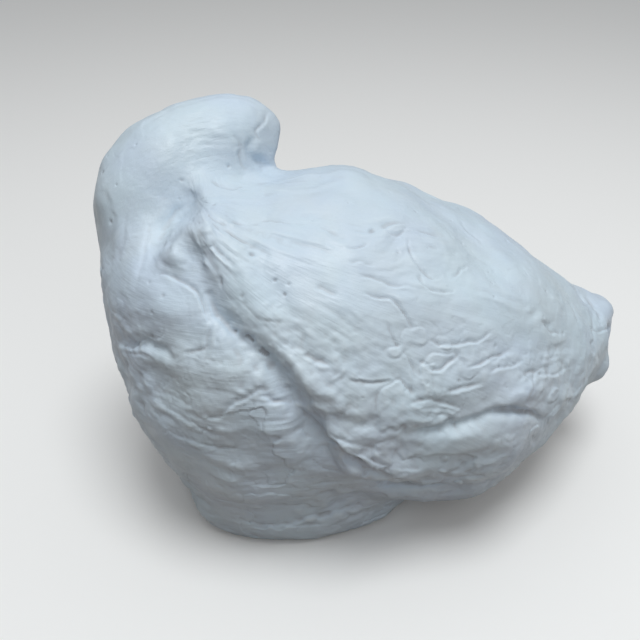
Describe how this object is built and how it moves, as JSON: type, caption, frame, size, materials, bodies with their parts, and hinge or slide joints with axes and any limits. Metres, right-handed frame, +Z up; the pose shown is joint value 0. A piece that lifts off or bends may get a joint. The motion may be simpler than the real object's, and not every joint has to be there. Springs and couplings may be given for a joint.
{
  "type": "chalkware bird figure",
  "caption": "Hand-built white plaster bird at rest, head turned back over its far shoulder, folded wings, blunt tail and a flat foot, built on a wire, paper and plaster-bandage core",
  "frame": {"origin": "middle of the flat resting face under the foot, on the surface that the figure stands on", "axes": "+X runs from the breast to the tail, +Y to the far side, +Z up"},
  "size_m": [0.206, 0.1324, 0.1518],
  "materials": {
    "plaster": "unglazed white plaster, smoothed by hand and brush",
    "bandage": "gauze bandage stiff with plaster",
    "paper": "crumpled newsprint",
    "wire": "soft galvanised wire"
  },
  "bodies": {
    "root": {"foot_pad": "plaster", "breast_coat": "plaster", "back_coat": "plaster", "belly_coat": "plaster", "left_wing": "plaster", "right_wing": "plaster", "tail_tip": "plaster", "tail_nub_upper": "plaster", "tail_nub_lower": "plaster", "neck_coat": "plaster", "head_coat": "plaster", "bill": "plaster", "body_bandage": "bandage", "neck_bandage": "bandage", "body_core": "paper", "neck_core": "paper", "spine_wire": "wire", "left_wing_wire": "wire", "right_wing_wire": "wire", "foot_wire": "wire", "wing_binding": "wire", "foot_binding": "wire"}
  },
  "joints": []
}
